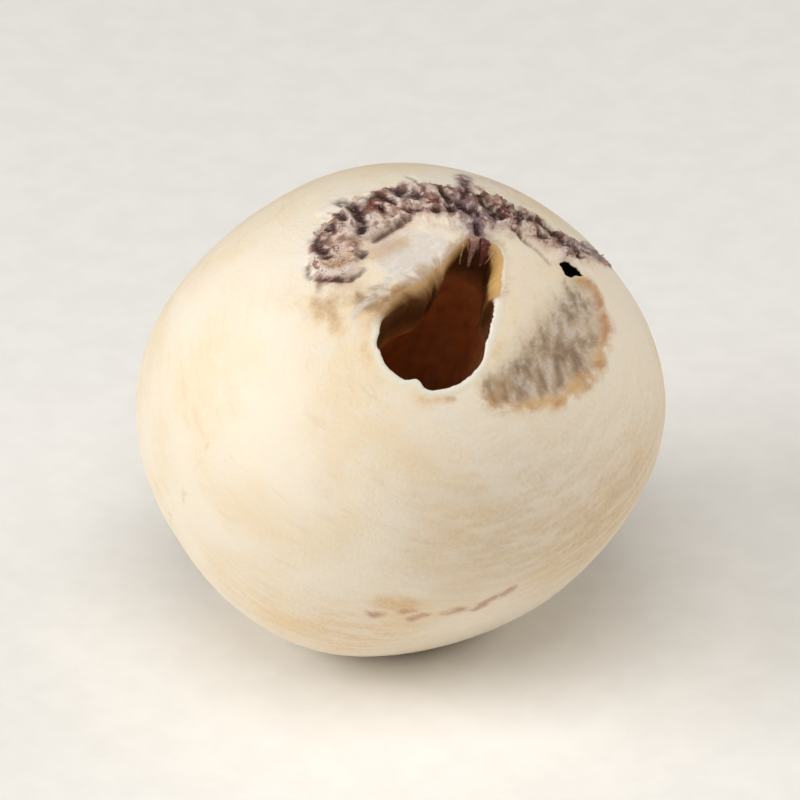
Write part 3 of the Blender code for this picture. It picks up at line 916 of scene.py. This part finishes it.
def channel_rings(outside, rim_azimuth):
    """Points up the channel from base to mouth, the height of the mouth's edge and its width."""
    even = np.arange(SEGMENTS) * 360.0 / SEGMENTS
    rim = outside[0]
    rim_reach = np.hypot(rim[:, 0], rim[:, 1])
    base_height = outside[-1][:, 2]
    base_reach = np.hypot(outside[-1][:, 0], outside[-1][:, 1])
    width = rim_width(rim_azimuth) * (1.0 + 0.35 * rough(directions(90.0 + 0.0 * even, rim_azimuth), 0.2, 33))
    top = rim[:, 2] - width
    bottom = base_height + RIM_ROUND
    rings = []
    for step in range(1, BASE_RIM_RINGS + 1):
        bend = 0.5 * math.pi * step / (BASE_RIM_RINGS + 1)
        height = base_height + RIM_ROUND * (1.0 - math.cos(bend))
        rings.append((even, base_reach - RIM_ROUND * math.sin(bend), height))
    walls = CHANNEL_RINGS - RIM_RINGS - BASE_RIM_RINGS
    for step in range(walls):
        height = mix(top, bottom, (1.0 - step / (walls - 1.0)) ** 1.9)
        opening = smooth((height - CAVITY_TOP) / (top - CAVITY_TOP))
        azimuth = mix(even, rim_azimuth, opening)
        narrowing = smooth((CAVITY_BOTTOM - height) / (CAVITY_BOTTOM - NECK_BOTTOM))
        reach = mix(cavity_reach(azimuth), BASE_HOLE_RADIUS, narrowing)
        under = smooth((top - height) / 0.3) * smooth((height - CAVITY_TOP) / 0.8)
        under = under * (1.0 - worn_share(width))
        reach = mix(reach, rim_reach - width, smooth(1.6 * opening)) + UNDERCUT * under
        around = directions(90.0 + 0.0 * even, azimuth) * reach[:, None]
        around[:, 2] = 0.35 * height
        wall = 0.09 * rough(around, 0.7, 41, 3) * smooth((top - height) / 0.6)
        rings.append((azimuth, reach + wall * (1.0 - narrowing), height))
    for step in range(RIM_RINGS - 1, -1, -1):
        bend = 0.5 * math.pi * (step + 0.7) / (RIM_RINGS + 0.7)
        rings.append((rim_azimuth, rim_reach - width * math.sin(bend), top + width * math.cos(bend)))
    points = []
    for azimuth, reach, height in rings:
        swing = np.radians(azimuth)
        points.append(np.stack((reach * np.cos(swing), reach * np.sin(swing), height), axis=-1))
    return np.array(points), rim[:, 2], width


class LOTUS_OT_kernel(bpy.types.Operator):
    """Model the kernel: a drilled sphere, shaped ring by ring and laid on its resting flat"""

    bl_idname = "lotus.kernel"
    bl_label = "Kernel"

    def execute(self, context):
        settings = context.scene.lotus_kernel
        kernel = add_drilled_sphere()
        order = ring_order(kernel.data)
        outside, marks, paint, rim_azimuth = outside_rings(settings, context.scene.lotus_beak)
        channel, rim_height, width = channel_rings(outside, rim_azimuth)
        inside = channel_surface(channel, rim_height, width)
        placed = posed(np.concatenate((channel, outside)), seed_pose(settings))
        placed[..., 2] = np.maximum(placed[..., 2], 0.0)
        kernel.data.vertices.foreach_set("co", in_order(placed, order))
        plain = np.zeros(channel.shape[:-1])
        for name, mark in zip(("skin", "pit"), marks):
            mark = np.concatenate((plain, mark))[..., None]
            add_attribute(kernel.data, name, "FLOAT", "value", in_order(mark, order))
        cover = np.concatenate((plain + 1.0, paint.cover))[..., None]
        painted = np.concatenate((np.concatenate((inside, paint.colour)), cover), axis=-1)
        add_attribute(kernel.data, "paint", "FLOAT_COLOR", "color", in_order(painted, order))
        finish_piece(kernel, flesh_material())
        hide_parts("seed")
        return {"FINISHED"}


# Flakes and fibres of torn skin


def on_kernel(x, y, settings):
    """Point and outward way on the finished kernel over a place (x, y), in the seed's frame."""
    pose = seed_pose(settings)
    kernel = bpy.data.objects["kernel"]
    start = pose @ Vector((x, y, settings.half_length / MM + 1.0))
    way = (pose.to_3x3() @ Vector((0.0, 0.0, -1.0))).normalized()
    hit, place, normal, _ = kernel.ray_cast(start, way)
    if not hit:
        raise RuntimeError(f"nothing of the kernel lies under ({x}, {y})")
    back = pose.inverted()
    return back @ place, (back.to_3x3() @ normal).normalized()


def model_flake():
    """One thin curled flake, 1 mm across, with a ragged outline."""
    deselect_all()
    bpy.ops.mesh.primitive_grid_add(x_subdivisions=10, y_subdivisions=7, size=1.0)
    flake = bpy.context.object
    in_edit_mode(
        flake,
        lambda: pick("SELECT"),
        lambda: bpy.ops.transform.resize(value=(1.0, 0.62, 1.0), center_override=(0.0, 0.0, 0.0)),
        lambda: bpy.ops.transform.vertex_random(offset=0.035, uniform=0.3, seed=4),
        lambda: pick("DESELECT"),
    )
    for vertex in flake.data.vertices:
        vertex.select = abs(vertex.co.x) + 1.3 * abs(vertex.co.y) > 0.74
    in_edit_mode(flake, lambda: bpy.ops.mesh.delete(type="VERT"))
    curl = flake.modifiers.new("Curl", "SIMPLE_DEFORM")
    curl.deform_method = "BEND"
    curl.deform_axis = "Y"
    curl.angle = math.radians(95.0)
    skin = flake.modifiers.new("Thickness", "SOLIDIFY")
    skin.thickness = FLAKE_THICKNESS / FLAKE_SIZES[1]
    for name in ("Curl", "Thickness"):
        bpy.ops.object.modifier_apply(modifier=name)
    return flake


def model_strand():
    """One fibre 1 mm long on +Z, tapered to its end, from a disc drawn out step by step."""
    deselect_all()
    bpy.ops.mesh.primitive_circle_add(vertices=10, radius=1.0, fill_type="NGON")
    strand = bpy.context.object

    def draw_out():
        for step in range(FIBRE_STEPS):
            thinner = 0.995 - 0.018 * step
            bpy.ops.mesh.extrude_region_move(TRANSFORM_OT_translate={"value": (0.0, 0.0, 1.0 / FIBRE_STEPS)})
            bpy.ops.transform.resize(value=(thinner, thinner, 1.0), center_override=(0.0, 0.0, 0.0))

    in_edit_mode(
        strand,
        lambda: pick("SELECT"),
        draw_out,
        lambda: pick("SELECT"),
        lambda: bpy.ops.mesh.normals_make_consistent(inside=False),
    )
    return strand


def join_copies(model, name, looks):
    """One piece from copies of a model, each with its own points and one colour."""
    pose = seed_pose(bpy.context.scene.lotus_kernel)
    deselect_all()
    copies = []
    for points, colour in looks:
        mesh = model.data.copy()
        copy = bpy.data.objects.new("copy", mesh)
        bpy.context.scene.collection.objects.link(copy)
        mesh.vertices.foreach_set("co", posed(points, pose).ravel())
        add_attribute(mesh, "paint", "FLOAT_COLOR", "color", np.tile((*colour, 1.0), len(mesh.vertices)))
        copy.select_set(True)
        copies.append(copy)
    bpy.data.objects.remove(model)
    bpy.context.view_layer.objects.active = copies[0]
    bpy.ops.object.join()
    piece = bpy.context.object
    piece.name = name
    finish_piece(piece, skin_material())


class LOTUS_OT_flakes(bpy.types.Operator):
    """Lay small lifted flakes of skin along both sides of the collar"""

    bl_idname = "lotus.flakes"
    bl_label = "Skin flakes"

    def execute(self, context):
        model = model_flake()
        shape = points_of(model.data)
        chance = random.Random(11)
        looks = []
        for number in range(FLAKES):
            part = min((number + chance.random()) / FLAKES * (len(COLLAR) - 1), len(COLLAR) - 1.001)
            first, second = COLLAR[int(part)], COLLAR[int(part) + 1]
            x, y, half_width = (mix(a, b, part % 1.0) for a, b in zip(first, second))
            run = Vector((second[0] - first[0], second[1] - first[1])).normalized()
            aside = chance.choice((-0.75, -0.35, 0.1, 0.55, 0.9)) * half_width
            place, normal = on_kernel(x - run.y * aside, y + run.x * aside, context.scene.lotus_kernel)
            along = Vector((run.x, run.y, 0.0))
            along.rotate(Matrix.Rotation(math.radians(chance.uniform(-50.0, 50.0)), 3, normal))
            across = normal.cross(along).normalized()
            along = across.cross(normal)
            frame_of = Matrix((along, across, normal)).transposed()
            tilt = Matrix.Rotation(math.radians(chance.uniform(4.0, 22.0)), 3, "X")
            width = chance.uniform(*FLAKE_SIZES)
            turned = shape * np.array((width, width, width * chance.uniform(0.3, 0.8)))
            points = turned @ np.array(frame_of @ tilt).T + np.array(place + 0.004 * normal)
            looks.append((points, tones("mauve", "blush", np.array(chance.random()))))
        join_copies(model, "skin_flakes", looks)
        return {"FINISHED"}


class LOTUS_OT_fibres(bpy.types.Operator):
    """Hang fibres of torn skin over the mouth's neck and its worn edge"""

    bl_idname = "lotus.fibres"
    bl_label = "Fibres"

    def execute(self, context):
        model = model_strand()
        shape = points_of(model.data)
        looks = []
        for number, (half_width, kind, start, way, drop) in enumerate(FIBRES):
            line = []
            for step in range(FIBRE_STEPS + 1):
                portion = step / FIBRE_STEPS
                x, y = (a + b * portion for a, b in zip(start, way))
                place, _ = on_kernel(x, y, context.scene.lotus_kernel)
                line.append((x, y, place.z + 0.4 * half_width - 0.2 * max(1.0 - 4.0 * portion, 0.0)))
            looks.append((strand_points(shape, half_width, np.array(line), drop, number), rgb(kind)))
        join_copies(model, "neck_fibres", looks)
        return {"FINISHED"}


def strand_points(shape, half_width, line, drop, number):
    """Points of a flat fibre that follows a line over the skin, then hangs free into the mouth."""
    portion = shape[:, 2]
    ring = np.rint(portion * FIBRE_STEPS).astype(int)
    heights = line[:, 2].copy()
    for step in range(1, FIBRE_STEPS + 1):
        heights[step] = max(heights[step], heights[step - 1] - 2.4 * drop / FIBRE_STEPS)
    middle = np.column_stack((line[ring, :2], heights[ring]))
    reach = line[-1] - line[0]
    side = np.cross((0.0, 0.0, 1.0), reach * np.array((1.0, 1.0, 0.0)))
    side /= np.linalg.norm(side)
    up = np.array((0.0, 0.5, 0.85))
    wave = 0.3 * half_width * np.sin(5.0 * portion + 1.7 * number)
    ridges = 1.0 + 0.25 * np.sin(3.0 * np.arctan2(shape[:, 1], shape[:, 0]) + number)
    wide = (shape[:, 0] * ridges * half_width + wave)[:, None]
    thick = (shape[:, 1] * ridges * 0.45 * half_width)[:, None]
    return middle + wide * side + thick * up


# Materials


class Nodes:
    """Builds a shader tree; an input is a socket to link, a colour's name or a value to set."""

    def __init__(self, tree):
        self.tree = tree

    def fill(self, node, inputs):
        for name, value in inputs.items():
            if isinstance(value, bpy.types.NodeSocket):
                self.tree.links.new(value, node.inputs[name])
            else:
                node.inputs[name].default_value = (*rgb(value), 1.0) if isinstance(value, str) else value
        return node.outputs

    def put(self, kind, inputs=None, **settings):
        node = self.tree.nodes.new(kind)
        for name, value in settings.items():
            setattr(node, name, value)
        return self.fill(node, inputs or {})

    def sums(self, operation, first, second=0.0, third=0.0, clamp=False):
        inputs = {0: first, 1: second, 2: third}
        return self.put("ShaderNodeMath", inputs, operation=operation, use_clamp=clamp)[0]

    def add(self, first, second):
        return self.sums("ADD", first, second)

    def times(self, first, second):
        return self.sums("MULTIPLY", first, second)

    def blend(self, factor, first, second):
        return self.put("ShaderNodeMix", {0: factor, 6: first, 7: second}, data_type="RGBA")[2]

    def window(self, value, low, high):
        """0 up to low, 1 from high, eased between them."""
        inputs = {"Value": value, "From Min": low, "From Max": high}
        return self.put("ShaderNodeMapRange", inputs, interpolation_type="SMOOTHSTEP")[0]

    def grain(self, place, scale, detail, roughness=0.55, bend=0.0):
        inputs = {"Vector": place, "Scale": scale, "Detail": detail, "Roughness": roughness}
        return self.put("ShaderNodeTexNoise", {**inputs, "Distortion": bend})[0]

    def bump(self, height, distance, below=None):
        """Normal bent by a height of so many millimetres, over the normal below it."""
        inputs = {"Height": height, "Distance": distance * MM, "Strength": 1.0}
        return self.put("ShaderNodeBump", inputs if below is None else {**inputs, "Normal": below})[0]

    def painted(self, name):
        return self.put("ShaderNodeAttribute", attribute_name=name)

    def place(self):
        """Place on the seed in millimetres, in the seed's own frame."""
        pose = seed_pose(bpy.context.scene.lotus_kernel)
        inputs = {
            "Vector": self.put("ShaderNodeTexCoord")["Object"],
            "Location": pose.to_translation(),
            "Rotation": pose.to_euler(),
            "Scale": (MM, MM, MM),
        }
        return self.put("ShaderNodeMapping", inputs, vector_type="TEXTURE")[0]


def new_group(name, inputs, outputs):
    """Shader node group with named sockets, what builds its nodes, its inputs and its output node."""
    tree = bpy.data.node_groups.new(name, "ShaderNodeTree")
    for direction, sockets in (("INPUT", inputs), ("OUTPUT", outputs)):
        for label, kind in sockets.items():
            tree.interface.new_socket(label, in_out=direction, socket_type="NodeSocket" + kind)
    return Nodes(tree), tree.nodes.new("NodeGroupInput").outputs, tree.nodes.new("NodeGroupOutput")


def fibre_group():
    """Faint fibres: fine lines round the beak and along the kernel."""
    nodes, given, made = new_group("Kernel fibres", {"Place": "Vector"}, {"Round": "Float", "Along": "Float"})
    parts = nodes.put("ShaderNodeSeparateXYZ", {0: given["Place"]})
    squares = [nodes.sums("POWER", part, 2.0) for part in parts[:2]]
    out = nodes.sums("MAXIMUM", nodes.sums("SQRT", nodes.add(*squares)), 0.05)
    polar = nodes.sums("ARCTAN2", out, parts[2])
    wobble = nodes.times(nodes.sums("SUBTRACT", nodes.grain(given["Place"], 0.55, 2.0), 0.5), 0.1)
    bent = nodes.add(polar, wobble)
    east, north = (nodes.sums("DIVIDE", part, out) for part in parts[:2])
    for label, around, down in (("Round", 4.5, 26.0), ("Along", 14.0, 2.2)):
        scaled = (nodes.times(east, around), nodes.times(north, around), nodes.times(bent, down))
        vector = nodes.put("ShaderNodeCombineXYZ", dict(enumerate(scaled)))[0]
        nodes.fill(made, {label: nodes.grain(vector, 1.0, 3.0, 0.6)})
    return nodes.tree


def skin_group():
    """Torn skin: fine dark and pale specks over a colour, and fine wrinkles."""
    if "Torn skin" in bpy.data.node_groups:
        return bpy.data.node_groups["Torn skin"]
    sockets = {"Place": "Vector", "Colour": "Color", "Amount": "Float"}
    nodes, given, made = new_group("Torn skin", sockets, {"Colour": "Color", "Height": "Float"})
    patch = nodes.grain(given["Place"], 6.0, 4.0, 0.6, 0.8)
    fine = nodes.grain(given["Place"], 19.0, 4.0, 0.65, 0.3)
    dark = nodes.times(nodes.window(nodes.add(patch, fine), 1.04, 1.22), given["Amount"])
    colour = nodes.blend(nodes.times(dark, 0.75), given["Colour"], "maroon")
    pale = nodes.times(nodes.window(fine, 0.42, 0.32), given["Amount"])
    colour = nodes.blend(nodes.times(pale, 0.4), colour, "fleck")
    nodes.fill(made, {"Colour": colour, "Height": nodes.times(nodes.add(patch, fine), 0.5)})
    return nodes.tree


def new_material(name):
    """Material, what builds its nodes, and its shader."""
    material = bpy.data.materials.new(name)
    material.use_nodes = True
    nodes = Nodes(material.node_tree)
    return material, nodes, nodes.tree.nodes["Principled BSDF"]


def flesh_material():
    """Dried ivory flesh under the kernel's own paint of stains, skin and scraped faces."""
    material, nodes, shader = new_material("Dried lotus flesh")
    place = nodes.place()
    broad = nodes.grain(place, 0.3, 2.0)
    patch = nodes.grain(place, 1.3, 4.0, 0.6, 0.3)
    fine = nodes.grain(place, 9.0, 4.0, 0.65)
    dust = nodes.grain(place, 34.0, 3.0, 0.7)
    fibres = nodes.put("ShaderNodeGroup", {"Place": place}, node_tree=fibre_group())

    powder = nodes.times(nodes.window(patch, 0.48, 0.66), nodes.window(fine, 0.34, 0.62))
    rings = nodes.times(nodes.window(fibres["Round"], 0.54, 0.7), nodes.window(broad, 0.36, 0.6))
    streaks = nodes.times(nodes.window(fibres["Along"], 0.6, 0.76), nodes.window(patch, 0.62, 0.4))
    colour = nodes.blend(nodes.window(broad, 0.38, 0.66), "ivory", "warm")
    for mask, strength, over in (
        (powder, 0.55, "chalk"),
        (rings, 0.14, "tan"),
        (streaks, 0.08, "tan"),
        (nodes.window(fibres["Round"], 0.44, 0.3), 0.35, "chalk"),
        (nodes.window(dust, 0.7, 0.8), 0.25, "tan"),
    ):
        colour = nodes.blend(nodes.times(mask, strength), colour, over)

    paint = nodes.painted("paint")
    skin = nodes.painted("skin")["Fac"]
    given = {"Place": place, "Colour": paint["Color"], "Amount": skin}
    torn_skin = nodes.put("ShaderNodeGroup", given, node_tree=skin_group())
    thin = nodes.times(paint["Alpha"], nodes.sums("SUBTRACT", 1.0, paint["Alpha"]))
    ragged = nodes.times(nodes.sums("SUBTRACT", fine, 0.5), 4.0)
    cover = nodes.sums("MULTIPLY_ADD", thin, ragged, paint["Alpha"], clamp=True)
    colour = nodes.blend(cover, colour, torn_skin["Colour"])
    # Painted shadow: the pit is painted near black and loses its specular.
    pit_painted_shadow = nodes.window(nodes.painted("pit")["Fac"], 0.1, 0.26)

    ridges = nodes.sums("MULTIPLY_ADD", fibres["Along"], 0.2, nodes.times(fibres["Round"], 0.6))
    surface = nodes.bump(ridges, 0.035)
    surface = nodes.bump(fine, 0.026, surface)
    surface = nodes.bump(dust, 0.01, surface)
    dry = nodes.sums("MULTIPLY_ADD", patch, 0.22, 0.46)
    look = {
        "Base Color": nodes.blend(pit_painted_shadow, colour, (0.003, 0.002, 0.001, 1.0)),
        "Roughness": nodes.sums("MULTIPLY_ADD", skin, 0.12, dry),
        "Normal": nodes.bump(nodes.times(torn_skin["Height"], skin), 0.07, surface),
        "Subsurface Weight": 0.18,
        "Subsurface Radius": (1.0, 0.55, 0.28),
        "Subsurface Scale": 0.6 * MM,
        "Specular IOR Level": nodes.sums("MULTIPLY_ADD", pit_painted_shadow, -0.38, 0.38),
    }
    nodes.fill(shader, look)
    return material


def skin_material():
    """Torn skin of the one colour kept in its paint."""
    if "Torn lotus skin" in bpy.data.materials:
        return bpy.data.materials["Torn lotus skin"]
    material, nodes, shader = new_material("Torn lotus skin")
    given = {"Place": nodes.place(), "Colour": nodes.painted("paint")["Color"], "Amount": 1.0}
    torn_skin = nodes.put("ShaderNodeGroup", given, node_tree=skin_group())
    normal = nodes.bump(torn_skin["Height"], 0.05)
    nodes.fill(shader, {"Base Color": torn_skin["Colour"], "Roughness": 0.66, "Normal": normal})
    return material


# Stage


class LOTUS_OT_stage(bpy.types.Operator):
    """Lay a pale floor, hang soft lights and set the camera"""

    bl_idname = "lotus.stage"
    bl_label = "Stage"

    def execute(self, context):
        settings = context.scene.lotus_stage
        low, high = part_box("seed")
        middle = (low + high) / 2
        add_floor(settings, FLOOR_WIDTH * (high.z - low.z))
        for name in LIGHTS:
            add_light(name, getattr(settings, name + "_power"), middle)
        add_sky(context.scene, settings)
        add_camera(context.scene, settings, middle, high.x - low.x)
        context.scene.view_settings.view_transform = "Standard"
        return {"FINISHED"}


def add_floor(settings, width):
    """Wide flat floor, faintly speckled."""
    deselect_all()
    bpy.ops.mesh.primitive_plane_add(size=width)
    floor = bpy.context.object
    floor.name = "floor"
    material, nodes, shader = new_material("Pale floor")
    speckle = nodes.grain(nodes.put("ShaderNodeTexCoord")["Object"], 900.0, 3.0, 0.6)
    pale = settings.floor[:]
    shade = (*(0.97 * value for value in pale[:3]), 1.0)
    colour = nodes.blend(nodes.window(speckle, 0.35, 0.65), pale, shade)
    nodes.fill(shader, {"Base Color": colour, "Roughness": 0.75})
    floor.data.materials.append(material)


def look_at(thing, target, azimuth, elevation, distance):
    """Put a light or camera out from the target, facing it; azimuth 0 is the front, 90 the right."""
    level = math.cos(elevation)
    back = Vector((level * math.sin(azimuth), -level * math.cos(azimuth), math.sin(elevation)))
    thing.location = target + back * distance
    thing.rotation_euler = (-back).to_track_quat("-Z", "Y").to_euler()


def add_light(name, power, target):
    """Soft round light."""
    azimuth, elevation, colour = LIGHTS[name]
    deselect_all()
    bpy.ops.object.light_add(type="AREA")
    light = bpy.context.object
    light.name = name
    light.data.shape = "DISK"
    light.data.size = LIGHT_WIDTH
    light.data.energy = power
    light.data.color = colour
    look_at(light, target, math.radians(azimuth), math.radians(elevation), LIGHT_DISTANCE)


def add_sky(scene, settings):
    world = bpy.data.worlds.new("Studio")
    world.use_nodes = True
    back = world.node_tree.nodes["Background"]
    back.inputs["Color"].default_value = SKY_COLOUR
    back.inputs["Strength"].default_value = settings.sky
    scene.world = world


def add_camera(scene, settings, middle, wide):
    deselect_all()
    bpy.ops.object.camera_add()
    camera = bpy.context.object
    camera.data.lens = settings.lens
    distance = wide / settings.filled * settings.lens / camera.data.sensor_width
    look_at(camera, middle, 0.0, settings.elevation, distance)
    camera.data.clip_start = 0.1 * distance
    camera.data.clip_end = 20.0 * distance
    scene.camera = camera


# Panel and registration


class LOTUS_PT_panel(bpy.types.Panel):
    """Steps of the lotus seed, in their order"""

    bl_idname = "LOTUS_PT_panel"
    bl_label = "Lotus seed"
    bl_space_type = "VIEW_3D"
    bl_region_type = "UI"
    bl_category = "Lotus seed"

    def draw(self, context):
        for name, group in SETTINGS.items():
            box = self.layout.box()
            for label in group.__annotations__:
                box.prop(getattr(context.scene, name), label)
        for step in STEPS:
            self.layout.operator(step.bl_idname)


SETTINGS = {
    "lotus_kernel": LotusKernelSettings,
    "lotus_beak": LotusBeakSettings,
    "lotus_colours": LotusColourSettings,
    "lotus_stage": LotusStageSettings,
}
STEPS = (LOTUS_OT_kernel, LOTUS_OT_flakes, LOTUS_OT_fibres, LOTUS_OT_stage)
CLASSES = (*SETTINGS.values(), *STEPS, LOTUS_PT_panel)


def register():
    for entry in CLASSES:
        bpy.utils.register_class(entry)
    for name, group in SETTINGS.items():
        setattr(bpy.types.Scene, name, bpy.props.PointerProperty(type=group))


def unregister():
    for name in SETTINGS:
        delattr(bpy.types.Scene, name)
    for entry in reversed(CLASSES):
        bpy.utils.unregister_class(entry)


def main():
    register()
    bpy.ops.lotus.kernel()
    bpy.ops.lotus.flakes()
    bpy.ops.lotus.fibres()
    bpy.ops.lotus.stage()


if __name__ == "__main__":
    main()
